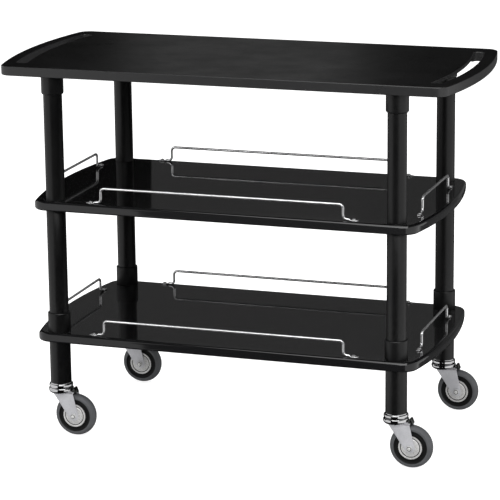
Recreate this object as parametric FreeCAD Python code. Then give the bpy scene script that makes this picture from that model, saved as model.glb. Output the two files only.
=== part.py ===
# Rolling utility cart: three moulded shelves on four post columns, with wire guard rails
# on the two lower shelves and a swivel caster under each leg. Millimetres, +Z up, +X along
# the length. The origin lies on the floor, under the middle of the cart.
import FreeCAD
import Part
import math
import os

V = FreeCAD.Vector

# Driving dimensions
DECK_HALF_L = 550.0        # middle of the bowed end
DECK_HALF_W = 256.0
DECK_BOW_R = 1100.0
DECK_CORNER_R = 30.0
DECK_TOP_Z = 878.0
DECK_T = 22.0
SHELF_HALF_L = 479.5
SHELF_HALF_W = 252.0
SHELF_BOW_R = 1075.0
SHELF_CORNER_R = 36.0
MID_Z = 566.0              # top face of the middle shelf
LOW_Z = 252.0              # top face of the lower shelf
SHELF_T = 22.0
PLATE_T = 4.0              # moulded wall
SKIRT_T = 6.0
RIB_T = 3.0
RIB_DEPTH = 12.0

SLOT_OUTER = 30.0          # grip bar, from the deck's end to the hand slot
SLOT_WIDTH = 25.0
SLOT_HALF_Y = 206.0
SLOT_CORNER_R = 8.0
SLOT_LIP_T = 8.0           # deck edge along the inner side of the slot

POST_X = 406.5
POST_Y = 218.9
POST_BORE_R = 18.7
UPPER_POST_R = 21.6
UPPER_POST_FOOT_R = 21.9
LOWER_POST_R = 22.4
LEG_R = 24.5
LEG_BORE_R = 21.3
LEG_BOTTOM_Z = 127.0
SOCKET_R = 25.6            # collar under the deck
SOCKET_BOTTOM_Z = 813.0
COLLAR_R = 26.2            # collar on the lower shelf
COLLAR_TOP_Z = 298.0
BOSS_R = 29.5

WIRE_R = 3.0
RAIL_RISE = 36.0           # shelf face to the middle of the bar
RAIL_BEND_R = 9.0
SIDE_RAIL_Y = 236.0
SIDE_RAIL_HALF = 288.0     # riser to the middle
END_RAIL_X = 438.0
END_RAIL_HALF = 117.0
FOOT_REACH = 36.0          # riser to the tip of the flattened foot
FOOT_HALF_W = 5.0
FOOT_T = 2.8
SCREW_REACH = 25.0
SCREW_R = 2.0
SCREW_LEN = 14.0

WHEEL_R = 50.0
TRAIL = 36.3
TREAD_HALF = 13.0
TYRE_BORE_R = 37.0
BUSH_R = 6.0
RUN = 0.08                 # radial running clearance
FORK_IN = 16.6             # inner face of a fork leg
FORK_OUT = 19.0
CROWN_Z = 103.0

CORNERS = (("fl", -1, -1), ("fr", 1, -1), ("bl", -1, 1), ("br", 1, 1))

os.makedirs("parts", exist_ok=True)


def export(shape, node):
    shape.exportStep("parts/" + node + ".step")


def cylinder(r, z0, z1, x=0.0, y=0.0):
    return Part.makeCylinder(r, z1 - z0, V(x, y, z0))


def tube(r_out, r_in, z0, z1, x=0.0, y=0.0):
    return cylinder(r_out, z0, z1, x, y).cut(cylinder(r_in, z0 - 1, z1 + 1, x, y))


def box(x0, x1, y0, y1, z0, z1):
    return Part.makeBox(x1 - x0, y1 - y0, z1 - z0, V(x0, y0, z0))


def turned(points, axis=V(0, 0, 1)):
    """Solid of revolution about Z, or about Y, from (radius, height) points."""
    if axis.z:
        ring = [V(r, 0, h) for r, h in points]
    else:
        ring = [V(r, h, 0) for r, h in points]
    face = Part.Face(Part.makePolygon(ring + [ring[0]]))
    return face.revolve(V(0, 0, 0), axis, 360)


def mirrored_y(shape):
    return shape.mirror(V(0, 0, 0), V(0, 1, 0))


def at(shape, x, y, z=0.0):
    moved = shape.copy()
    moved.translate(V(x, y, z))
    return moved


def outline(half_l, half_w, bow_r, corner_r):
    """Closed outline with straight sides, bowed ends and rounded corners."""
    bow_x = half_l - bow_r
    cy = half_w - corner_r
    cx = bow_x + math.sqrt((bow_r - corner_r) ** 2 - cy ** 2)
    turn = math.atan2(cy, cx - bow_x)
    tip = V(bow_x + bow_r * math.cos(turn), bow_r * math.sin(turn), 0)
    half = turn + (math.pi / 2 - turn) / 2
    mid = V(cx + corner_r * math.cos(half), cy + corner_r * math.sin(half), 0)
    side = V(cx, half_w, 0)

    def flip(p, sx, sy):
        return V(p.x * sx, p.y * sy, 0)

    edges = [
        Part.Arc(flip(tip, 1, -1), V(half_l, 0, 0), tip).toShape(),
        Part.Arc(tip, mid, side).toShape(),
        Part.LineSegment(side, flip(side, -1, 1)).toShape(),
        Part.Arc(flip(side, -1, 1), flip(mid, -1, 1), flip(tip, -1, 1)).toShape(),
        Part.Arc(flip(tip, -1, 1), V(-half_l, 0, 0), flip(tip, -1, -1)).toShape(),
        Part.Arc(flip(tip, -1, -1), flip(mid, -1, -1), flip(side, -1, -1)).toShape(),
        Part.LineSegment(flip(side, -1, -1), flip(side, 1, -1)).toShape(),
        Part.Arc(flip(side, 1, -1), flip(mid, 1, -1), flip(tip, 1, -1)).toShape(),
    ]
    return Part.Wire(edges)


def slab(wire, z0, z1):
    return at(Part.Face(wire), 0, 0, z0).extrude(V(0, 0, z1 - z0))


def rounded(solid, z, r):
    """Round the edges of the solid that lie in the plane at height z."""
    rim = [e for e in solid.Edges if abs(e.BoundBox.ZMin - z) < 1e-4 and abs(e.BoundBox.ZMax - z) < 1e-4]
    return solid.makeFillet(r, rim)


def ribs(z0, z1):
    lines = [box(-600, 600, y - RIB_T / 2, y + RIB_T / 2, z0, z1) for y in (-168, -84, 0, 84, 168)]
    lines += [box(x - RIB_T / 2, x + RIB_T / 2, -300, 300, z0, z1) for x in range(-360, 361, 90)]
    return lines


# Deck: a moulded tray turned upside down, with ribs, post bosses and a hand slot at each end
deck_bottom = DECK_TOP_Z - DECK_T
deck_wire = outline(DECK_HALF_L, DECK_HALF_W, DECK_BOW_R, DECK_CORNER_R)
deck = slab(deck_wire, deck_bottom, DECK_TOP_Z)
deck = rounded(deck, DECK_TOP_Z, 2.5)
deck = rounded(deck, deck_bottom, 2.0)
slot_in_r = DECK_BOW_R - SLOT_OUTER - SLOT_WIDTH
slot_out_r = DECK_BOW_R - SLOT_OUTER
bow_x = DECK_HALF_L - DECK_BOW_R
pocket_half = bow_x + math.sqrt((slot_in_r - SKIRT_T) ** 2 - DECK_HALF_W ** 2)
pocket = box(-pocket_half, pocket_half, SKIRT_T - DECK_HALF_W, DECK_HALF_W - SKIRT_T,
             deck_bottom - 1, DECK_TOP_Z - PLATE_T)
keep = ribs(DECK_TOP_Z - PLATE_T - RIB_DEPTH, DECK_TOP_Z)
keep += [cylinder(BOSS_R, deck_bottom, DECK_TOP_Z, sx * POST_X, sy * POST_Y) for _, sx, sy in CORNERS]
deck = deck.cut(pocket.cut(keep[0].multiFuse(keep[1:])))
for _, sx, sy in CORNERS:
    deck = deck.cut(cylinder(SOCKET_R, deck_bottom - 1, DECK_TOP_Z - PLATE_T, sx * POST_X, sy * POST_Y))

slot = tube(slot_out_r, slot_in_r, deck_bottom - 1, DECK_TOP_Z + 1, bow_x)
slot = slot.common(box(0, DECK_HALF_L, -SLOT_HALF_Y, SLOT_HALF_Y, deck_bottom - 1, DECK_TOP_Z + 1))
uprights = [e for e in slot.Edges if e.BoundBox.ZLength > DECK_T and e.BoundBox.XLength < 0.01]
slot = slot.makeFillet(SLOT_CORNER_R, uprights)
relief_half = SLOT_HALF_Y - 10
relief = box(pocket_half - 1, DECK_HALF_L, -relief_half, relief_half, deck_bottom - 1, DECK_TOP_Z - SLOT_LIP_T)
relief = relief.common(cylinder(slot_in_r + 1, deck_bottom - 1, DECK_TOP_Z, bow_x))
for side in (slot, relief):
    deck = deck.cut(side)
    deck = deck.cut(side.mirror(V(0, 0, 0), V(1, 0, 0)))
slot_rim = []
for e in deck.Edges:
    b = e.BoundBox
    if abs(b.ZMin - DECK_TOP_Z) < 1e-4 and abs(b.ZMax - DECK_TOP_Z) < 1e-4:
        if min(abs(b.XMin), abs(b.XMax)) > 440 and max(abs(b.YMin), abs(b.YMax)) < SLOT_HALF_Y + 1:
            slot_rim.append(e)
deck = deck.makeFillet(2.0, slot_rim)
export(deck, "top_deck")


def screw_spots(z):
    """Screw positions of the four guard rails on the shelf with its face at z."""
    spots = []
    for s in (-1, 1):
        for t in (-1, 1):
            spots.append(V(t * (SIDE_RAIL_HALF + SCREW_REACH), s * SIDE_RAIL_Y, z))
            spots.append(V(s * END_RAIL_X, t * (END_RAIL_HALF + SCREW_REACH), z))
    return spots


# Shelves: the same moulding twice, with a soft rolled edge
def shelf(z_top):
    z_bottom = z_top - SHELF_T
    body = slab(outline(SHELF_HALF_L, SHELF_HALF_W, SHELF_BOW_R, SHELF_CORNER_R), z_bottom, z_top)
    body = rounded(body, z_top, 8.0)
    body = rounded(body, z_bottom, 5.0)
    inner = outline(SHELF_HALF_L - 10, SHELF_HALF_W - 10, SHELF_BOW_R - 10, SHELF_CORNER_R - 10)
    pocket = slab(inner, z_bottom - 1, z_top - PLATE_T)
    keep = ribs(z_top - PLATE_T - RIB_DEPTH, z_top)
    keep += [cylinder(BOSS_R, z_bottom, z_top, sx * POST_X, sy * POST_Y) for _, sx, sy in CORNERS]
    keep += [cylinder(5.5, z_top - SCREW_LEN - 3, z_top, p.x, p.y) for p in screw_spots(z_top)]
    body = body.cut(pocket.cut(keep[0].multiFuse(keep[1:])))
    for _, sx, sy in CORNERS:
        body = body.cut(cylinder(POST_BORE_R, z_bottom - 1, z_top + 1, sx * POST_X, sy * POST_Y))
    for p in screw_spots(z_top):
        body = body.cut(cylinder(SCREW_R, z_top - SCREW_LEN, z_top + 1, p.x, p.y))
    return body


export(shelf(MID_Z), "middle_shelf")
export(shelf(LOW_Z), "lower_shelf")

# Columns: leg, collar, lower post, upper post and deck socket, stacked at each corner
deck_seat = DECK_TOP_Z - PLATE_T
leg_top = LOW_Z - SHELF_T
mid_bottom = MID_Z - SHELF_T
top_socket = turned([
    (UPPER_POST_R, SOCKET_BOTTOM_Z), (SOCKET_R - 2.5, SOCKET_BOTTOM_Z), (SOCKET_R, SOCKET_BOTTOM_Z + 3),
    (SOCKET_R, deck_seat), (UPPER_POST_R, deck_seat)])
upper_post = turned([
    (POST_BORE_R, MID_Z), (UPPER_POST_FOOT_R, MID_Z), (UPPER_POST_R, SOCKET_BOTTOM_Z - 4),
    (UPPER_POST_R, deck_seat), (POST_BORE_R, deck_seat)])
lower_post = tube(LOWER_POST_R, POST_BORE_R, LOW_Z, mid_bottom)
shelf_collar = turned([
    (LOWER_POST_R, LOW_Z), (COLLAR_R, LOW_Z), (COLLAR_R, COLLAR_TOP_Z - 2),
    (COLLAR_R - 1.6, COLLAR_TOP_Z), (LOWER_POST_R, COLLAR_TOP_Z)])
leg = turned([
    (LEG_BORE_R, LEG_BOTTOM_Z), (LEG_R, LEG_BOTTOM_Z), (LEG_R, leg_top), (POST_BORE_R, leg_top),
    (POST_BORE_R, COLLAR_TOP_Z), (15.0, COLLAR_TOP_Z), (15.0, leg_top - 5), (LEG_BORE_R, leg_top - 5)])
post_spigot = tube(POST_BORE_R, 15.5, MID_Z - 60, MID_Z + 60)
stem_socket = cylinder(LEG_BORE_R, LEG_BOTTOM_Z, LEG_BOTTOM_Z + 42)
stem_socket = stem_socket.cut(cylinder(5.5, LEG_BOTTOM_Z - 1, LEG_BOTTOM_Z + 38))

for tag, sx, sy in CORNERS:
    for name, piece in (("top_socket_", top_socket), ("upper_post_", upper_post),
                        ("lower_post_", lower_post), ("shelf_collar_", shelf_collar), ("leg_", leg)):
        export(at(piece, sx * POST_X, sy * POST_Y), name + tag)


def at_corners(piece):
    return Part.makeCompound([at(piece, sx * POST_X, sy * POST_Y) for _, sx, sy in CORNERS])


export(at_corners(post_spigot), "post_spigots")
export(at_corners(stem_socket), "stem_sockets")


# Guard rails: one bent wire each, with a flattened, drilled foot at both ends
def rail(half):
    """Rail along X, centred at the origin, standing on the plane z = 0."""
    r = RAIL_BEND_R
    c = r * (1 - math.sqrt(0.5))
    low = WIRE_R
    start = half + 15
    corners = [V(-start, 0, low), V(-half - r, 0, low), V(-half - c, 0, low + c), V(-half, 0, low + r),
               V(-half, 0, RAIL_RISE - r), V(-half + c, 0, RAIL_RISE - c), V(-half + r, 0, RAIL_RISE)]
    path = [
        Part.LineSegment(corners[0], corners[1]).toShape(),
        Part.Arc(corners[1], corners[2], corners[3]).toShape(),
        Part.LineSegment(corners[3], corners[4]).toShape(),
        Part.Arc(corners[4], corners[5], corners[6]).toShape(),
        Part.LineSegment(corners[6], V(0, 0, RAIL_RISE)).toShape(),
    ]
    section = Part.Wire(Part.Circle(corners[0], V(1, 0, 0), WIRE_R).toShape())
    wire = Part.Wire(path).makePipeShell([section], True, True)
    flat = Part.Ellipse(V(-start - 8, FOOT_HALF_W, FOOT_T / 2), V(-start - 8, 0, FOOT_T),
                        V(-start - 8, 0, FOOT_T / 2)).toShape()
    neck = Part.makeLoft([section, Part.Wire(flat)], True)
    tip = half + FOOT_REACH - FOOT_HALF_W
    foot = box(-tip, -start - 6, -FOOT_HALF_W, FOOT_HALF_W, 0, FOOT_T)
    foot = foot.fuse(cylinder(FOOT_HALF_W, 0, FOOT_T, -tip))
    half_rail = wire.multiFuse([neck, foot])
    half_rail = half_rail.cut(cylinder(SCREW_R, -1, FOOT_T + 5, -half - SCREW_REACH))
    both = half_rail.fuse(half_rail.mirror(V(0, 0, 0), V(1, 0, 0)))
    return both.removeSplitter()


side_rail = rail(SIDE_RAIL_HALF)
end_rail = rail(END_RAIL_HALF)
end_rail.rotate(V(0, 0, 0), V(0, 0, 1), 90)
for shelf_name, z in (("mid", MID_Z), ("low", LOW_Z)):
    export(at(side_rail, 0, -SIDE_RAIL_Y, z), "rail_" + shelf_name + "_front")
    export(at(side_rail, 0, SIDE_RAIL_Y, z), "rail_" + shelf_name + "_back")
    export(at(end_rail, -END_RAIL_X, 0, z), "rail_" + shelf_name + "_left")
    export(at(end_rail, END_RAIL_X, 0, z), "rail_" + shelf_name + "_right")

# Pan-head screws with a cross recess, eight to a shelf
screw = cylinder(SCREW_R, -SCREW_LEN, FOOT_T)
pan = rounded(cylinder(4.2, FOOT_T, FOOT_T + 2.6), FOOT_T + 2.6, 1.4)
screw = screw.fuse(pan)
for size in ((2.2, 0.5), (0.5, 2.2)):
    screw = screw.cut(box(-size[0], size[0], -size[1], size[1], FOOT_T + 1.3, FOOT_T + 4))
for shelf_name, z in (("mid", MID_Z), ("low", LOW_Z)):
    export(Part.makeCompound([at(screw, p.x, p.y, p.z) for p in screw_spots(z)]), "rail_screws_" + shelf_name)

# Casters: every piece is modelled about the swivel axis, trailing toward +X
KING_R = 6.0
head = turned([
    (0, 99.4), (8.5, 99.4), (9.5, 100.4), (9.5, CROWN_Z - 0.4), (KING_R, CROWN_Z - 0.4), (KING_R, 123.4),
    (23.4, 123.4), (25.2, 121.4), (24.4, 116.2), (26.9, 116.2), (27.7, 117.6), (28.0, 120.6),
    (27.6, 123.2), (26.4, 125.4), (24.5, LEG_BOTTOM_Z), (5.5, LEG_BOTTOM_Z), (5.5, 155.0),
    (4.7, 155.6), (4.7, 158.0), (5.5, 158.6), (5.5, 162.6), (4.5, 163.8), (0, 163.8)])
ball = Part.makeSphere(3.0)
ball_ring = [at(ball, 18 * math.cos(math.radians(a)), 18 * math.sin(math.radians(a)), 120.4)
             for a in range(0, 360, 30)]

# Fork: lower ball race, crown plate with a turned-up rear lip, and two tapering legs
race = turned([
    (KING_R + RUN, CROWN_Z), (23.5, CROWN_Z), (27.2, 104.8), (29.0, 107.6), (29.5, 110.2), (28.9, 113.2),
    (27.4, 115.2), (26.4, 115.6), (24.6, 115.6), (25.4, 112.4), (24.6, 108.6), (22.0, 107.0),
    (22.0, 116.9), (KING_R + RUN, 116.9), (KING_R + RUN, 114.4), (19.6, 114.4), (19.6, 106.0),
    (KING_R + RUN, 106.0)])


def tangent_point(px, pz, r, side):
    """Where the line from (px, pz) touches the axle circle of radius r, on one side."""
    dx = px - TRAIL
    dz = pz - WHEEL_R
    reach = math.hypot(dx, dz)
    turn = math.atan2(dz, dx) + side * math.acos(r / reach)
    return V(TRAIL + r * math.cos(turn), 0, WHEEL_R + r * math.sin(turn))


FORK_END_R = 11.5
front_top = V(-13, 0, CROWN_Z + 2.4)
front_foot = V(-13, 0, CROWN_Z - 2)
rear_top = V(35, 0, CROWN_Z + 2.4)
front_knee = tangent_point(front_foot.x, front_foot.z, FORK_END_R, 1)
rear_knee = tangent_point(rear_top.x, rear_top.z, FORK_END_R, -1)
under = V(TRAIL + 1, 0, WHEEL_R - math.sqrt(FORK_END_R ** 2 - 1))
leg_wire = Part.Wire([
    Part.LineSegment(front_top, front_foot).toShape(),
    Part.LineSegment(front_foot, front_knee).toShape(),
    Part.Arc(front_knee, under, rear_knee).toShape(),
    Part.LineSegment(rear_knee, rear_top).toShape(),
    Part.LineSegment(rear_top, front_top).toShape(),
])
fork_leg = at(Part.Face(leg_wire), 0, -FORK_OUT).extrude(V(0, FORK_OUT - FORK_IN, 0))
axle_hole = Part.makeCylinder(4.0, 60, V(TRAIL, -30, WHEEL_R), V(0, 1, 0))
crown = box(-13, 35, -FORK_OUT, FORK_OUT, CROWN_Z, CROWN_Z + 2.4)
lip_wire = Part.makePolygon([V(30.2, -9, CROWN_Z), V(41, -9, CROWN_Z), V(36.6, -9, 115.4),
                             V(32.4, -9, 115.4), V(30.2, -9, CROWN_Z)])
lip = Part.Face(lip_wire).extrude(V(0, 18, 0))
lip = lip.makeFillet(1.2, [e for e in lip.Edges if e.BoundBox.YLength > 17 and e.BoundBox.ZMin > 115])
fork = race.multiFuse([crown, fork_leg, mirrored_y(fork_leg), lip])
fork = fork.cut(cylinder(KING_R + RUN, CROWN_Z - 2, CROWN_Z + 3)).cut(axle_hole).removeSplitter()


def hexagon(r, y0, y1):
    ring = [V(r * math.cos(math.radians(a)), y0, r * math.sin(math.radians(a))) for a in range(0, 361, 60)]
    return Part.Face(Part.makePolygon(ring)).extrude(V(0, y1 - y0, 0))


# Axle: a bolt with its nut toward the front, through a plain bush that spans the fork
bolt = Part.makeCylinder(4.0, FORK_OUT + 25.0, V(0, -25.0, 0), V(0, 1, 0))
bolt = bolt.fuse(hexagon(7.0, FORK_OUT, FORK_OUT + 4.5)).removeSplitter()
nut = hexagon(7.0, -FORK_OUT - 4.5, -FORK_OUT).cut(bolt)
bush = Part.makeCylinder(BUSH_R, 2 * FORK_IN, V(0, -FORK_IN, 0), V(0, 1, 0)).cut(bolt)
axle = Part.makeCompound([bolt, nut, bush])

# Thread guards: dished steel discs that stay with the fork, one each side of the wheel
guard = turned([
    (BUSH_R, 15.4), (12.0, 15.4), (19.0, 13.2), (20.6, 12.4), (27.5, 12.4), (27.5, 13.4), (27.0, 13.9),
    (22.6, 14.1), (21.4, 13.5), (20.2, 14.3), (12.6, FORK_IN), (BUSH_R, FORK_IN)], V(0, 1, 0))
guards = Part.makeCompound([guard, mirrored_y(guard)])

# Wheel: a moulded core with a moulded-on tyre
core_half = [(11.0, 14.8), (13.0, 9.4), (23.0, 7.6), (27.4, 10.6), (28.4, 11.5), (TYRE_BORE_R, 11.5)]
core = turned([(BUSH_R + RUN, 14.8)] + core_half + [(r, -h) for r, h in reversed(core_half)]
              + [(BUSH_R + RUN, -14.8)], V(0, 1, 0))
tread_r = 43.0
tyre_face = Part.Face(Part.Wire([
    Part.LineSegment(V(TYRE_BORE_R, -11.5, 0), V(TYRE_BORE_R, 11.5, 0)).toShape(),
    Part.LineSegment(V(TYRE_BORE_R, 11.5, 0), V(38.6, TREAD_HALF, 0)).toShape(),
    Part.LineSegment(V(38.6, TREAD_HALF, 0), V(tread_r, TREAD_HALF, 0)).toShape(),
    Part.Arc(V(tread_r, TREAD_HALF, 0), V(WHEEL_R, 0, 0), V(tread_r, -TREAD_HALF, 0)).toShape(),
    Part.LineSegment(V(tread_r, -TREAD_HALF, 0), V(38.6, -TREAD_HALF, 0)).toShape(),
    Part.LineSegment(V(38.6, -TREAD_HALF, 0), V(TYRE_BORE_R, -11.5, 0)).toShape(),
]))
tyre = tyre_face.revolve(V(0, 0, 0), V(0, 1, 0), 360)

export(at_corners(Part.makeCompound(ball_ring)), "race_balls")
for tag, sx, sy in CORNERS:
    x = sx * POST_X
    y = sy * POST_Y
    export(at(head, x, y), "swivel_head_" + tag)
    export(at(fork, x, y), "fork_" + tag)
    for name, piece in (("axle_set_", axle), ("thread_guards_", guards), ("wheel_core_", core), ("tyre_", tyre)):
        export(at(piece, x + TRAIL, y, WHEEL_R), name + tag)
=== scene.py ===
# Rolling utility cart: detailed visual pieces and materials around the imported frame.
# Metres, +Z up, +X along the cart (the way the casters trail), +Y to the back.
import bpy
import bmesh
import math
from mathutils import Matrix, Vector


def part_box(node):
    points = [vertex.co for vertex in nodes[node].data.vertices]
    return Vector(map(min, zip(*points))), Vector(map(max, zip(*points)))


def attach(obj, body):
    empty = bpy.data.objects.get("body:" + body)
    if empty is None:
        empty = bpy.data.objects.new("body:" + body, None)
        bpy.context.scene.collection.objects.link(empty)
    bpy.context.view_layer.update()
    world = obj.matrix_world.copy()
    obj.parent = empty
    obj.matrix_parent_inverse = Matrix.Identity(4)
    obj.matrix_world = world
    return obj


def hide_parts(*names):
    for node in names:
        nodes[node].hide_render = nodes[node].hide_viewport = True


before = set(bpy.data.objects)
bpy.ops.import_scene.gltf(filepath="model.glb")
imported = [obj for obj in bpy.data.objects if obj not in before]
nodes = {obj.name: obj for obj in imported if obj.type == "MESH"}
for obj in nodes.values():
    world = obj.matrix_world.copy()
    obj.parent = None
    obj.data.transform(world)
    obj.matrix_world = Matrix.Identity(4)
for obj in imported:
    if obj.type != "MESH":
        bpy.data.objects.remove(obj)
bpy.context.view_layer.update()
CORNERS = ("fl", "fr", "bl", "br")


# ---------------------------------------------------------------- mesh helpers
def new_object(name, verts, faces, mats, smooth=35.0):
    """Mesh object in the scene, shaded smooth up to the given angle in degrees."""
    mesh = bpy.data.meshes.new(name)
    mesh.from_pydata(verts, [], faces)
    mesh.validate()
    for m in mats:
        mesh.materials.append(m)
    bm = bmesh.new()
    bm.from_mesh(mesh)
    bmesh.ops.remove_doubles(bm, verts=bm.verts, dist=1e-7)
    bmesh.ops.recalc_face_normals(bm, faces=bm.faces)
    bm.to_mesh(mesh)
    bm.free()
    mesh.shade_smooth()
    mesh.set_sharp_from_angle(angle=math.radians(smooth))
    obj = bpy.data.objects.new(name, mesh)
    bpy.context.scene.collection.objects.link(obj)
    return obj


def bevel(obj, width, segments):
    mod = obj.modifiers.new("edge", "BEVEL")
    mod.width = width
    mod.segments = segments
    mod.limit_method = "ANGLE"
    mod.angle_limit = math.radians(30.0)
    mod.harden_normals = True
    return obj


def join(name, objs):
    """One object from several, with their modifiers applied and their materials kept."""
    deps = bpy.context.evaluated_depsgraph_get()
    bm = bmesh.new()
    mats = []
    for o in objs:
        deps.update()
        mesh = bpy.data.meshes.new_from_object(o.evaluated_get(deps))
        mesh.transform(o.matrix_world)
        start = len(bm.faces)
        own = list(mesh.materials)
        bm.from_mesh(mesh)
        bm.faces.ensure_lookup_table()
        for f in bm.faces[start:]:
            m = own[f.material_index]
            if m not in mats:
                mats.append(m)
            f.material_index = mats.index(m)
        bpy.data.objects.remove(o)
        bpy.data.meshes.remove(mesh)
    out = bpy.data.meshes.new(name)
    bm.to_mesh(out)
    bm.free()
    for m in mats:
        out.materials.append(m)
    obj = bpy.data.objects.new(name, out)
    bpy.context.scene.collection.objects.link(obj)
    out.set_sharp_from_angle(angle=math.radians(40))
    return obj


def lathe(name, prof, mat, seg=96, axis="Z", centre=(0, 0, 0), smooth=35.0):
    """Closed (radius, height) profile turned about Z or Y. Points on the axis share one vertex."""
    c = Vector(centre)
    verts = []
    rings = []
    for r, h in prof:
        if r < 1e-9:
            verts.append(c + (Vector((0, 0, h)) if axis == "Z" else Vector((0, h, 0))))
            rings.append([len(verts) - 1] * seg)
            continue
        ring = []
        for i in range(seg):
            a = 2 * math.pi * i / seg
            p = Vector((r * math.cos(a), r * math.sin(a), h))
            if axis == "Y":
                p = Vector((p.x, h, p.y))
            verts.append(c + p)
            ring.append(len(verts) - 1)
        rings.append(ring)
    faces = []
    for k, a in enumerate(rings):
        b = rings[(k + 1) % len(rings)]
        if a[0] == a[1] and b[0] == b[1]:
            continue
        for i in range(seg):
            j = (i + 1) % seg
            quad = [a[i], a[j], b[j], b[i]]
            face = [v for n, v in enumerate(quad) if v not in quad[:n]]
            if len(face) > 2:
                faces.append(face)
    return new_object(name, verts, faces, [mat], smooth)


def arc(cx, cz, r, a0, a1, n):
    """n + 1 points of a circular arc from angle a0 to a1, in degrees."""
    angles = [math.radians(a0 + (a1 - a0) * i / n) for i in range(n + 1)]
    return [(cx + r * math.cos(a), cz + r * math.sin(a)) for a in angles]


def prism(name, outline, y0, y1, mat):
    """Outline of (x, z) points, extruded from y0 to y1."""
    n = len(outline)
    verts = [(x, y0, z) for x, z in outline] + [(x, y1, z) for x, z in outline]
    faces = [list(range(n)), list(range(2 * n - 1, n - 1, -1))]
    faces += [[i, (i + 1) % n, n + (i + 1) % n, n + i] for i in range(n)]
    return new_object(name, verts, faces, [mat])


def tube_faces(rows, n):
    """Side faces between rows of n points each."""
    return [[k * n + i, k * n + (i + 1) % n, (k + 1) * n + (i + 1) % n, (k + 1) * n + i]
            for k in range(rows - 1) for i in range(n)]


def place(obj, body, slot, *replaced):
    """Put a finished piece on its body and hide the nodes that it stands for. The slot argument is not
    used.
    """
    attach(obj, body)
    if replaced:
        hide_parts(*replaced)
    return obj


# ---------------------------------------------------------------- materials
class Nodes:
    """Short hand for building a node tree in object space."""

    def __init__(self, name):
        self.mat = bpy.data.materials.new(name)
        self.mat.use_nodes = True
        self.tree = self.mat.node_tree
        self.bsdf = self.tree.nodes["Principled BSDF"]
        coord = self.add("ShaderNodeTexCoord")
        self.pos = coord.outputs["Object"]

    def add(self, kind, **values):
        node = self.tree.nodes.new(kind)
        for k, v in values.items():
            setattr(node, k, v)
        return node

    def link(self, a, b):
        self.tree.links.new(a, b)

    def stretched(self, scale):
        m = self.add("ShaderNodeMapping")
        m.inputs["Scale"].default_value = scale
        self.link(self.pos, m.inputs["Vector"])
        return m.outputs["Vector"]

    def noise(self, scale, detail=4.0, rough=0.55, vector=None):
        n = self.add("ShaderNodeTexNoise")
        n.inputs["Scale"].default_value = scale
        n.inputs["Detail"].default_value = detail
        n.inputs["Roughness"].default_value = rough
        self.link(vector or self.pos, n.inputs["Vector"])
        return n.outputs["Fac"]

    def spread(self, fac, lo, hi, a=0.3, b=0.7):
        m = self.add("ShaderNodeMapRange")
        m.inputs["From Min"].default_value = a
        m.inputs["From Max"].default_value = b
        m.inputs["To Min"].default_value = lo
        m.inputs["To Max"].default_value = hi
        self.link(fac, m.inputs["Value"])
        return m.outputs["Result"]

    def mix(self, fac, a, b):
        m = self.add("ShaderNodeMix", data_type="RGBA")
        for socket, v in ((m.inputs[6], a), (m.inputs[7], b)):
            if isinstance(v, tuple):
                socket.default_value = (*v, 1.0)
            else:
                self.link(v, socket)
        self.link(fac, m.inputs[0])
        return m.outputs[2]

    def calc(self, op, a, b):
        m = self.add("ShaderNodeMath", operation=op)
        for socket, v in ((m.inputs[0], a), (m.inputs[1], b)):
            if isinstance(v, (int, float)):
                socket.default_value = v
            else:
                self.link(v, socket)
        return m.outputs[0]

    def bump(self, *layers):
        """Stack of (height, strength, distance) bumps."""
        last = None
        for height, strength, distance in layers:
            b = self.add("ShaderNodeBump")
            b.inputs["Strength"].default_value = strength
            b.inputs["Distance"].default_value = distance
            self.link(height, b.inputs["Height"])
            if last:
                self.link(last, b.inputs["Normal"])
            last = b.outputs["Normal"]
        self.link(last, self.bsdf.inputs["Normal"])

    def wear(self):
        """Mask of exposed edges, broken up by noise."""
        g = self.add("ShaderNodeNewGeometry")
        edge = self.spread(g.outputs["Pointiness"], 0.0, 1.0, 0.52, 0.62)
        return self.calc("MULTIPLY", edge, self.spread(self.noise(180.0), 0.0, 1.0, 0.42, 0.6))


def plastic(name, dark, light, rough, grain, grain_depth, ior=1.46, coat=0.0, streak=(1.0, 14.0, 1.0),
            painted_side_light=None):
    """Black moulded plastic. The last argument, when given, is a lighter tone painted on upright
    faces: painted light standing in for the light that those faces catch.
    """
    n = Nodes(name)
    cloud = n.noise(3.1, 3.0)
    speck = n.noise(grain * 0.6, 2.0)
    tone = n.mix(n.spread(cloud, 0.0, 1.0), dark, light)
    tone = n.mix(n.spread(speck, 0.0, 0.35, 0.45, 0.7), tone, tuple(min(1.0, c * 1.5) for c in light))
    tone = n.mix(n.calc("MULTIPLY", n.wear(), 0.35), tone, tuple(c * 3.0 + 0.01 for c in light))
    # Upright faces get a lighter tone: painted light, not the plastic's own colour
    if painted_side_light:
        g = n.add("ShaderNodeNewGeometry")
        split = n.add("ShaderNodeSeparateXYZ")
        n.link(g.outputs["Normal"], split.inputs[0])
        painted_side_mask = n.spread(n.calc("ABSOLUTE", split.outputs["Z"], 0.0), 1.0, 0.0, 0.45, 0.9)
        tone = n.mix(painted_side_mask, tone, painted_side_light)
    n.link(tone, n.bsdf.inputs["Base Color"])
    smudge = n.noise(9.0, 5.0, 0.6)
    scratch = n.noise(60.0, 3.0, 0.6, n.stretched(streak))
    mixed = n.calc("ADD", n.calc("MULTIPLY", smudge, 0.7), n.calc("MULTIPLY", scratch, 0.3))
    n.link(n.spread(mixed, rough * 0.82, rough * 1.22, 0.35, 0.65), n.bsdf.inputs["Roughness"])
    n.bsdf.inputs["IOR"].default_value = ior
    n.bsdf.inputs["Coat Weight"].default_value = coat
    n.bsdf.inputs["Coat Roughness"].default_value = 0.06
    n.bump((n.noise(grain, 3.0, 0.6), 0.35, grain_depth), (n.noise(14.0, 2.0), 0.2, 0.0004))
    return n.mat


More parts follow.
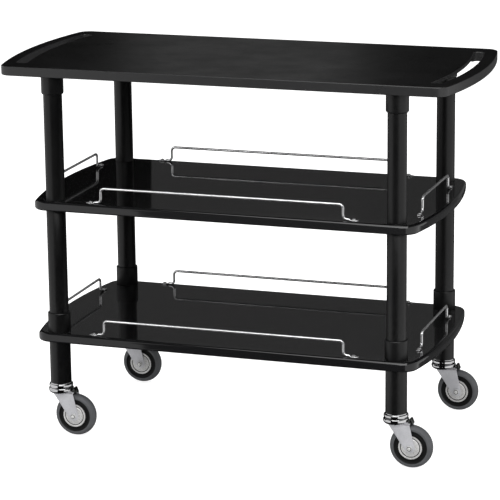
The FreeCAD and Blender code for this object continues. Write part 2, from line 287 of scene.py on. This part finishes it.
def metal(name, colour, rough, brush, brush_depth, spots=0.0, shine=1.0):
    """Plated or bare metal. spots is the strength of its dull specks, shine its share of metal."""
    n = Nodes(name)
    patch = n.noise(24.0, 4.0, 0.6)
    tint = tuple(c * 0.82 for c in colour)
    tone = n.mix(n.spread(patch, 0.0, 1.0, 0.35, 0.65), tint, colour)
    if spots:
        specks = n.spread(n.noise(420.0, 2.0), 0.0, spots, 0.5, 0.7)
        tone = n.mix(specks, tone, tuple(c * 0.6 for c in colour))
    n.link(tone, n.bsdf.inputs["Base Color"])
    n.bsdf.inputs["Metallic"].default_value = shine
    fine = n.noise(brush, 4.0, 0.65)
    n.link(n.spread(fine, rough * 0.7, rough * 1.35, 0.35, 0.65), n.bsdf.inputs["Roughness"])
    n.bump((fine, 0.3, brush_depth))
    return n.mat


# The deck and both shelves carry painted light on their upright faces, the lighter tone in their last
# argument
M_DECK = plastic("deck_satin_black", (0.0016, 0.0016, 0.0017), (0.0026, 0.0026, 0.0027),
                 0.33, 1500.0, 0.00006, painted_side_light=(0.0135, 0.0135, 0.0138))
M_SHELF = plastic("shelf_gloss_black", (0.0016, 0.0016, 0.0017), (0.0028, 0.0028, 0.0029),
                  0.05, 900.0, 0.000006, coat=0.25, painted_side_light=(0.007, 0.007, 0.0073))
M_SHELF_LOW = plastic("lower_shelf_black", (0.0024, 0.0024, 0.0025), (0.0040, 0.0040, 0.0042),
                      0.05, 900.0, 0.000006, coat=0.25, painted_side_light=(0.005, 0.005, 0.0053))
M_POST = plastic("post_satin_black", (0.0010, 0.0010, 0.0011), (0.0018, 0.0018, 0.0019),
                 0.36, 1100.0, 0.00004, streak=(14.0, 14.0, 0.6))
M_COLLAR = plastic("collar_black", (0.0016, 0.0016, 0.0017), (0.0026, 0.0026, 0.0027),
                   0.38, 1300.0, 0.00007)
M_CORE = plastic("wheel_core_black", (0.0015, 0.0015, 0.0016), (0.0030, 0.0030, 0.0032),
                 0.55, 900.0, 0.00006, ior=1.33)
M_RAIL = metal("rail_chrome", (0.86, 0.86, 0.87), 0.17, 90.0, 0.00002, shine=0.94)
M_HEAD = metal("head_chrome", (0.82, 0.82, 0.83), 0.05, 60.0, 0.00002)
# Dark chrome used as painted shade on the crown's rear lip, in the thread guards' grooves and on the
# axle nuts
M_PAINTED_SHADE = metal("painted_shade_dark_chrome", (0.10, 0.105, 0.10), 0.22, 300.0, 0.00003)
M_FORK = metal("fork_zinc", (0.43, 0.43, 0.450), 0.42, 700.0, 0.00006, spots=0.4, shine=0.35)
M_GUARD = metal("guard_zinc", (0.50, 0.495, 0.49), 0.30, 500.0, 0.00005, spots=0.6, shine=0.4)
M_AXLE = metal("axle_zinc", (0.58, 0.58, 0.57), 0.30, 600.0, 0.00003, spots=0.3, shine=0.45)
M_SCREW = metal("screw_steel", (0.62, 0.62, 0.62), 0.24, 900.0, 0.00003, spots=0.4)


def tyre_material():
    n = Nodes("tyre_grey_rubber")
    tone = n.mix(n.spread(n.noise(40.0, 4.0), 0.0, 1.0),
                 (0.040, 0.0415, 0.045), (0.054, 0.0555, 0.0595))
    tone = n.mix(n.spread(n.noise(900.0, 2.0), 0.0, 0.5, 0.5, 0.72), tone, (0.028, 0.029, 0.032))
    n.link(tone, n.bsdf.inputs["Base Color"])
    n.link(n.spread(n.noise(120.0), 0.52, 0.72), n.bsdf.inputs["Roughness"])
    n.bsdf.inputs["IOR"].default_value = 1.5
    n.bump((n.noise(700.0, 3.0), 0.4, 0.00012), (n.noise(60.0), 0.25, 0.0002))
    return n.mat


M_TYRE = tyre_material()


def give(node, mat):
    """Show a CAD node in one material."""
    data = nodes[node].data
    if not data.materials:
        data.materials.append(mat)
    for i in range(len(data.materials)):
        data.materials[i] = mat


give("top_deck", M_DECK)
give("middle_shelf", M_SHELF)
give("lower_shelf", M_SHELF_LOW)
give("post_spigots", M_POST)
give("stem_sockets", M_COLLAR)
give("race_balls", M_SCREW)
give("rail_screws_mid", M_SCREW)
give("rail_screws_low", M_SCREW)

# ---------------------------------------------------------------- columns
MM = 0.001


def column_axis(tag):
    """Plan position of a column, from the box of its leg."""
    lo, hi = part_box("leg_" + tag)
    return (lo.x + hi.x) / 2, (lo.y + hi.y) / 2


def scaled(prof):
    """Millimetres to metres."""
    return [(r * MM, z * MM) for r, z in prof]


def mirrored(prof, side):
    """Profile in metres, on the side (-1 or 1) of the wheel's middle plane."""
    return [(r * MM, side * h * MM) for r, h in prof]


# (part, material, profile in mm); the upper post tapers over its lowest 240 mm
COLUMN_PARTS = (
    ("top_socket", M_COLLAR,
     [(21.62, 813.0), (23.0, 813.0), (23.6, 813.2), (25.2, 815.4), (25.6, 816.4), (25.6, 855.9),
      (25.6, 873.9), (21.62, 873.9)]),
    ("upper_post", M_POST,
     [(18.7, 566.0), (21.5, 566.0), (21.9, 566.5), (21.9, 567.5)]
     + [(21.9 - 0.3 * i / 6, 567.5 + 240 * i / 6) for i in range(1, 7)]
     + [(21.6, 874.0), (18.7, 874.0)]),
    ("lower_post", M_POST,
     [(18.7, 252.0), (22.4, 252.0), (22.4, 400.0), (22.4, 543.4), (22.0, 544.0), (18.7, 544.0)]),
    ("shelf_collar", M_COLLAR,
     [(22.42, 252.0), (25.4, 252.0), (25.9, 252.3), (26.2, 252.9), (26.2, 295.3)]
     + arc(23.9, 295.3, 2.3, 0, 75, 6) + [(23.0, 297.9), (22.42, 297.9)]),
    ("leg", M_POST,
     [(21.3, 127.0), (24.0, 127.0), (24.4, 127.2), (24.5, 127.7), (24.5, 229.9), (18.7, 229.9),
      (18.7, 298.0), (15.0, 298.0), (15.0, 225.0), (21.3, 225.0)]),
)

left_posts = []
for tag in CORNERS:
    cx, cy = column_axis(tag)
    for part, mat, profile in COLUMN_PARTS:
        piece = lathe(part + "_look_" + tag, scaled(profile), mat, centre=(cx, cy, 0))
        place(piece, "cart", "post_plastic", part + "_" + tag)
        if tag in ("fl", "bl"):
            left_posts.append(piece)


# ---------------------------------------------------------------- guard rails
def sweep(name, stations, mat):
    """Tube through stations of (point, across half-width, upright half-height, tangent)."""
    sides = 20
    verts = []
    for p, wide, tall, t in stations:
        side = Vector((0, 1, 0))
        up = side.cross(t).normalized()
        if up.z < 0 and abs(up.z) > 0.3:
            up = -up
        for i in range(sides):
            a = 2 * math.pi * i / sides
            verts.append(p + side * (wide * math.cos(a)) + up * (tall * math.sin(a)))
    faces = tube_faces(len(stations), sides)
    faces.append(list(range(sides)))
    faces.append([(len(stations) - 1) * sides + i for i in reversed(range(sides))])
    return new_object(name, verts, faces, [mat], 60.0)


def rail_stations(half):
    """Left half of a rail along X over the plane z = 0, from the foot's tip to the middle.

    Each station is (x, z, across half-width, upright half-height, slope), in mm and radians.
    """
    wire = 2.96
    rise, bend = 36.0, 9.0
    thick, wide = 1.38, 5.0
    out = []
    # The flat foot, rounded at its tip
    tip = half + 36.0
    for i in range(9):
        a = math.radians(90 * (1 - i / 8.0))
        w = max(wide * math.cos(a), 0.05)
        out.append((-tip + wide * (1 - math.sin(a)), thick + 0.02, w, thick, 0.0))
    out.append((-half - 21, thick + 0.02, wide, thick, 0.0))
    # From the foot's section to the round wire
    for i in range(9):
        s = i / 8.0
        k = s * s * (3 - 2 * s)
        out.append((-half - 20 + 7 * s, thick + (wire - thick) * k + 0.04, wide + (wire - wide) * k,
                    thick + (wire - thick) * k, 0.0))
    # Up and over to the long top run
    for i in range(13):
        a = math.radians(90 * i / 12.0)
        lift = wire + 0.04 + bend * (1 - math.cos(a))
        out.append((-half - bend + bend * math.sin(a), lift, wire, wire, a))
    for i in range(13):
        a = math.radians(90 * (1 - i / 12.0))
        lift = rise - bend * (1 - math.cos(a))
        out.append((-half + bend - bend * math.sin(a), lift, wire, wire, a))
    for i in range(1, 5):
        out.append((-(half - bend) * (1 - i / 4.0), rise, wire, wire, 0.0))
    return out


def rail(spot, half, along_y):
    """Guard rail with half mm from its middle to each upright."""
    lo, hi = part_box("rail_" + spot)
    left = rail_stations(half)
    full = left + [(-x, z, w, t, -a) for x, z, w, t, a in reversed(left[:-1])]
    stations = [(Vector((x * MM, 0, z * MM)), w * MM, t * MM, Vector((math.cos(a), 0, math.sin(a))))
                for x, z, w, t, a in full]
    obj = sweep("wire_rail_" + spot, stations, M_RAIL)
    turn = Matrix.Rotation(math.radians(90), 4, "Z") if along_y else Matrix.Identity(4)
    obj.data.transform(Matrix.Translation(((lo.x + hi.x) / 2, (lo.y + hi.y) / 2, lo.z)) @ turn)
    place(obj, "cart", "rail_chrome", "rail_" + spot)
    return obj


rails = []
for level in ("mid", "low"):
    for side in ("front", "back"):
        rails.append(rail(level + "_" + side, 288.0, False))
    for side in ("left", "right"):
        rails.append(rail(level + "_" + side, 117.0, True))

# ---------------------------------------------------------------- casters
# All in mm from the caster's king pin axis and the floor
TRAIL = 36.3
AXLE_Z = 50.0
CROWN_FRONT, CROWN_REAR = -13.0, 35.0
CROWN_BOTTOM, CROWN_TOP = 103.0, 105.4

HEAD_PROFILE = (
    [(0, 99.4), (8.3, 99.4), (9.3, 100.2), (9.5, 101.2), (9.5, 102.6), (6.0, 102.6),
     (6.0, 123.4), (23.4, 123.4), (25.2, 121.4), (24.6, 116.4), (25.0, 116.2), (26.5, 116.2)]
    + arc(26.2, 117.4, 1.2, -80, -10, 4) + [(27.85, 119.0), (27.98, 120.6), (27.7, 122.4)]
    + arc(25.2, 122.2, 2.7, 20, 80, 5)
    + [(24.6, 126.2), (24.45, 127.0), (5.5, 127.0), (5.5, 155.0), (4.7, 155.6), (4.7, 158.0),
       (5.5, 158.6), (5.5, 162.6), (4.5, 163.8), (0, 163.8)])

RACE_PROFILE = [
    (6.08, 103.0), (22.4, 103.0), (23.6, 103.1), (25.4, 103.7), (27.2, 104.9), (28.4, 106.4),
    (29.15, 108.2), (29.5, 110.2), (29.35, 112.0), (28.7, 113.6), (27.8, 114.8), (26.9, 115.45),
    (26.2, 115.6), (24.9, 115.6), (24.6, 115.3), (25.4, 112.4), (24.6, 108.6), (22.0, 107.0),
    (22.0, 116.9), (6.08, 116.9), (6.08, 114.4), (19.6, 114.4), (19.6, 106.0), (6.08, 106.0)]


def tangent(px, pz, r, side):
    """Angle at which a line from (px, pz) touches a circle of radius r about the axle."""
    dx, dz = px - TRAIL, pz - AXLE_Z
    return math.atan2(dz, dx) + side * math.acos(r / math.hypot(dx, dz))


def cheek(name, side):
    """Fork leg: a pressed plate tapering to a round axle eye, its front edge bent inward."""
    eye, outer, wall = 11.5, 19.0, 2.4
    front_top = 101.0
    a0 = tangent(CROWN_FRONT, front_top, eye, 1)
    a1 = tangent(CROWN_REAR, CROWN_TOP, eye, -1)
    front = (TRAIL + eye * math.cos(a0), AXLE_Z + eye * math.sin(a0))
    rear = (TRAIL + eye * math.cos(a1), AXLE_Z + eye * math.sin(a1))
    levels = [AXLE_Z - eye * math.cos(math.radians(6 + 6 * i)) for i in range(17)]
    levels += [levels[-1] + (CROWN_TOP - levels[-1]) * i / 12.0 for i in range(1, 13)]
    verts = []
    for z in levels:
        chord = math.sqrt(max(eye ** 2 - (z - AXLE_Z) ** 2, 0.0))
        lo = TRAIL - chord
        hi = TRAIL + chord
        if z > front[1]:
            slope = (CROWN_FRONT - front[0]) / (front_top - front[1])
            lo = max(front[0] + (z - front[1]) * slope, CROWN_FRONT)
        if z > rear[1]:
            slope = (CROWN_REAR - rear[0]) / (CROWN_TOP - rear[1])
            hi = rear[0] + (z - rear[1]) * slope
        bend = 2.1 * min(max((z - 62.0) / 26.0, 0.0), 1.0)
        q = min(1.0, (hi - lo) / 6.0)
        e = min(8.0, 0.3 * (hi - lo))
        section = [
            (lo, outer - bend - 0.6 * q), (lo + 0.5 * q, outer - bend),
            (lo + e - 0.4 * q, outer - bend * 0.08), (lo + e + 0.4 * q, outer),
            (hi - 0.9 * q, outer), (hi - 0.2 * q, outer - 0.3), (hi, outer - 0.9),
            (hi, outer - wall + 0.4), (hi - 0.3 * q, outer - wall), (lo + e, outer - wall),
            (lo + 0.4 * q, outer - wall - bend), (lo, outer - wall - bend + 0.4)]
        verts += [(x * MM, side * y * MM, z * MM) for x, y in section]
    n = 12
    rows = len(levels)
    faces = [list(range(n)), [(rows - 1) * n + i for i in reversed(range(n))]]
    faces += tube_faces(rows, n)
    return new_object(name, verts, faces, [M_FORK], 26.0)


LIP_OUTLINE = [
    (30.2, 103.5), (41.0, 103.5), (36.9, 114.6), (36.1, 115.4), (33.0, 115.4), (32.4, 114.8)]


def fork_piece(tag, cx, cy):
    parts = [cheek("cheek_part", side) for side in (-1, 1)]
    # The crown leaves a gap for the king pin; the race above covers it
    for x0, x1 in ((CROWN_FRONT, -6.2), (6.2, CROWN_REAR)):
        outline = scaled([(x0, CROWN_BOTTOM), (x1, CROWN_BOTTOM), (x1, CROWN_TOP), (x0, CROWN_TOP)])
        crown = prism("crown_part", outline, -0.019, 0.019, M_FORK)
        parts.append(bevel(crown, 0.0008, 2))
    # The rear lip is drawn in the dark chrome: painted shade where it sits in shadow
    lip = prism("lip_part", scaled(LIP_OUTLINE), -0.009, 0.009, M_PAINTED_SHADE)
    parts.append(bevel(lip, 0.0009, 3))
    obj = join("fork_look_" + tag, parts)
    obj.data.transform(Matrix.Translation((cx, cy, 0)))
    return obj


def hexagon(name, r, y0, y1, chamfer, mat):
    """Hexagonal head or nut about Y with its outer corners turned down."""
    n = 36
    shoulder = y1 - chamfer if y1 > y0 else y1 + chamfer
    verts = []
    for y, limit in ((y0, 1.0), (shoulder, 1.0), (y1, 0.86)):
        for i in range(n):
            a = 2 * math.pi * i / n
            flat = math.cos(math.pi / 6) / math.cos((a % (math.pi / 3)) - math.pi / 6)
            rad = r * min(flat, limit)
            verts.append((rad * math.cos(a), y, rad * math.sin(a)))
    faces = [list(range(n)), [2 * n + i for i in reversed(range(n))]]
    faces += tube_faces(3, n)
    return new_object(name, verts, faces, [mat], 25.0)


SHANK_PROFILE = [
    (0, -25.0), (3.0, -25.0), (4.0, -24.2), (4.0, -19.1), (4.0, -16.6), (6.0, -16.6), (6.0, 16.6),
    (4.0, 16.6), (4.0, 19.2), (0, 19.2)]
# Thin dark ring on the end faces of the nut and the bolt head: painted shadow around them
NUT_SHADE_RING = [(4.05, 23.3), (5.3, 23.3), (5.3, 23.62), (5.1, 23.68), (4.2, 23.68), (4.05, 23.62)]


def axle_piece(tag, cx, cy):
    shank = lathe("shank_part", scaled(SHANK_PROFILE), M_AXLE, 48, "Y")
    nut = hexagon("nut_part", 0.007, -0.01902, -0.0235, 0.0011, M_AXLE)
    head = hexagon("bolt_part", 0.007, 0.01902, 0.0235, 0.0011, M_AXLE)
    # Dark rings on nut and bolt head: painted shadow
    rings = [lathe("nut_shade_part", mirrored(NUT_SHADE_RING, side), M_PAINTED_SHADE, 36, "Y") for side in (-1, 1)]
    obj = join("axle_look_" + tag, [shank, nut, head] + rings)
    obj.data.transform(Matrix.Translation((cx + TRAIL * MM, cy, AXLE_Z * MM)))
    return obj


GUARD_PROFILE = [
    (6.02, 15.4), (12.0, 15.4), (19.0, 13.3), (20.6, 12.4), (27.3, 12.4), (27.5, 12.6),
    (27.5, 13.3), (27.3, 13.7), (26.8, 13.9), (24.9, 14.1), (24.0, 14.05), (23.6, 13.8),
    (23.2, 13.1), (21.6, 13.1), (21.1, 13.6), (20.4, 14.2), (18.6, 14.9), (14.0, 16.2),
    (12.6, 16.5), (11.8, 16.58), (6.02, 16.58)]
# Thin dark ring laid in the thread guard's groove: painted shade in the recess
GROOVE_SHADE_PROFILE = [(21.3, 13.0), (23.4, 13.0), (23.4, 13.25), (22.4, 13.3), (21.3, 13.25)]
CORE_HALF = [
    (6.1, 14.8), (10.4, 14.8), (11.0, 14.3), (12.6, 10.2), (13.6, 9.4), (22.0, 7.7), (23.6, 7.9),
    (26.6, 10.4), (27.6, 11.2), (28.6, 11.5), (33.4, 11.5), (33.8, 11.25), (34.2, 11.5),
    (36.7, 11.6), (37.4, 12.4), (38.3, 12.9), (38.9, 13.02), (39.0, 12.6), (37.0, 10.9)]
TYRE_HALF = (
    [(37.0, 11.5), (37.5, 12.3), (38.6, 12.85), (39.4, 13.0), (41.2, 13.0), (41.6, 12.8),
     (42.0, 13.0), (43.0, 13.0)]
    + arc(34.43, 0.0, 15.57, 54, 6, 8))


def both_sides(half):
    """Closed profile in metres from the half on one side of the wheel's middle plane."""
    return scaled(half + [(r, -h) for r, h in reversed(half)])


mirror_chrome = []
for tag in CORNERS:
    cx, cy = column_axis(tag)
    hub = (cx + TRAIL * MM, cy, AXLE_Z * MM)
    pin = (cx, cy, 0)
    head = lathe("swivel_head_look_" + tag, scaled(HEAD_PROFILE), M_HEAD, centre=pin, smooth=40)
    place(head, "cart", "head_chrome", "swivel_head_" + tag)
    place(fork_piece(tag, cx, cy), "swivel_" + tag, "fork_steel", "fork_" + tag)
    race = lathe("race_look_" + tag, scaled(RACE_PROFILE), M_HEAD, centre=pin, smooth=40)
    place(race, "swivel_" + tag, "fork_steel")
    mirror_chrome += [head, race]
    place(axle_piece(tag, cx, cy), "swivel_" + tag, "screw_steel", "axle_set_" + tag)
    discs = []
    for side in (-1, 1):
        discs.append(lathe("disc_part", mirrored(GUARD_PROFILE, side), M_GUARD, 96, "Y"))
        # Dark ring in each groove: painted shade
        discs.append(lathe("groove_shade_part", mirrored(GROOVE_SHADE_PROFILE, side), M_PAINTED_SHADE, 96, "Y"))
    guards = join("thread_guards_look_" + tag, discs)
    guards.data.transform(Matrix.Translation(hub))
    place(guards, "swivel_" + tag, "fork_steel", "thread_guards_" + tag)
    core = lathe("wheel_core_look_" + tag, both_sides(CORE_HALF), M_CORE, 96, "Y", hub)
    place(core, "wheel_" + tag, "core_plastic", "wheel_core_" + tag)
    tyre = lathe("tyre_look_" + tag, both_sides(TYRE_HALF), M_TYRE, 128, "Y", hub, 50)
    place(tyre, "wheel_" + tag, "tyre_rubber", "tyre_" + tag)

# ---------------------------------------------------------------- floor, light, camera
floor_mat = bpy.data.materials.new("pale_floor")
floor_mat.use_nodes = True
floor_bsdf = floor_mat.node_tree.nodes["Principled BSDF"]
floor_bsdf.inputs["Base Color"].default_value = (0.50, 0.50, 0.50, 1.0)
floor_bsdf.inputs["Roughness"].default_value = 0.9
floor_bsdf.inputs["Emission Color"].default_value = (1.0, 1.0, 1.0, 1.0)
floor_bsdf.inputs["Emission Strength"].default_value = 0.82
REACH = 60.0
corners = [(-REACH, -REACH, 0), (REACH, -REACH, 0), (REACH, REACH, 0), (-REACH, REACH, 0)]
floor = new_object("studio_floor", corners, [[0, 1, 2, 3]], [floor_mat])
floor.visible_glossy = False
floor.visible_shadow = False

# A white room to the camera and to diffuse light, almost black to reflections
world = bpy.data.worlds.new("studio")
bpy.context.scene.world = world
world.use_nodes = True
wt = world.node_tree
wt.nodes.clear()
out = wt.nodes.new("ShaderNodeOutputWorld")
room = wt.nodes.new("ShaderNodeBackground")
room.inputs["Color"].default_value = (1.0, 1.0, 1.0, 1.0)
room.inputs["Strength"].default_value = 1.0
dark = wt.nodes.new("ShaderNodeBackground")
dark.inputs["Color"].default_value = (0.005, 0.005, 0.005, 1.0)
dark.inputs["Strength"].default_value = 1.0
ray = wt.nodes.new("ShaderNodeLightPath")
pick = wt.nodes.new("ShaderNodeMixShader")
wt.links.new(ray.outputs["Is Glossy Ray"], pick.inputs[0])
wt.links.new(room.outputs[0], pick.inputs[1])
wt.links.new(dark.outputs[0], pick.inputs[2])
wt.links.new(pick.outputs[0], out.inputs["Surface"])


def softbox(name, pos, target, width, height, power):
    data = bpy.data.lights.new(name, "AREA")
    data.shape = "RECTANGLE"
    data.size = width
    data.size_y = height
    data.energy = power
    obj = bpy.data.objects.new(name, data)
    obj.location = pos
    obj.rotation_euler = (Vector(target) - Vector(pos)).to_track_quat("-Z", "Y").to_euler()
    obj.visible_camera = False
    bpy.context.scene.collection.objects.link(obj)
    return obj


# The side boxes draw the posts' edge highlights
softbox("left_softbox", (-1.75, -0.45, 0.4), (-0.861, 0.008, 0.4), 3.7, 2.8, 22)
right_box = softbox("right_softbox", (2.0, 0.1, 0.4), (1.015, 0.271, 0.4), 4.7, 2.8, 32)
softbox("back_softbox", (-0.9, 2.6, 1.75), (0, 0, 0.8), 0.8, 0.8, 0.46)
softbox("top_softbox", (0.2, -0.6, 3.4), (0, 0, 0.5), 2.6, 2.6, 60)
# Dim panels behind the cart, mirrored in the shelves
softbox("rear_upper_panel", (-0.03, 1.25, 0.86), (-0.03, 0, 0.78), 1.4, 0.26, 0.066)
softbox("rear_lower_panel", (-0.25, 1.25, 0.60), (-0.25, 0, 0.52), 2.0, 0.26, 0.125)
softbox("right_back_softbox", (1.6, 3.2, 0.4), (0.3, 0, 0.4), 2.2, 2.8, 1.5)
rail_box = softbox("rail_softbox", (-1.2, -2.2, 2.0), (0, 0, 0.5), 2.0, 1.4, 23)
front = softbox("front_softbox", (0.9, -2.3, 2.5), (0, 0, 0.5), 3.0, 1.5, 60)


def link_lights(light, pieces, state):
    """Limit a light to the pieces (INCLUDE) or keep it off them (EXCLUDE)."""
    group = bpy.data.collections.new(light.name + "_pieces")
    light.light_linking.receiver_collection = group
    for i, piece in enumerate(pieces):
        group.objects.link(piece)
        group.collection_objects[i].light_linking.link_state = state


link_lights(front, mirror_chrome, "EXCLUDE")
link_lights(rail_box, rails, "INCLUDE")
link_lights(right_box, left_posts, "EXCLUDE")

YAW, PITCH, ROLL = 0.32400, 0.25020, 0.01090
DIST = 5.8377
LENS = 178.844
TARGET = Vector((-0.00917, 0.0, 0.41929))
forward = Vector((-math.sin(YAW) * math.cos(PITCH), math.cos(YAW) * math.cos(PITCH), -math.sin(PITCH)))
right = Vector((math.cos(YAW), math.sin(YAW), 0.0))
down = forward.cross(right)
rolled_right = right * math.cos(ROLL) + down * math.sin(ROLL)
rolled_down = down * math.cos(ROLL) - right * math.sin(ROLL)
cam_data = bpy.data.cameras.new("camera")
cam_data.sensor_width = 36.0
cam_data.lens = LENS
cam_data.clip_end = 200.0
cam = bpy.data.objects.new("camera", cam_data)
turn = Matrix((rolled_right, -rolled_down, -forward)).transposed().to_4x4()
cam.matrix_world = Matrix.Translation(TARGET - forward * DIST) @ turn
bpy.context.scene.collection.objects.link(cam)
bpy.context.scene.camera = cam
bpy.context.scene.view_settings.view_transform = "Standard"
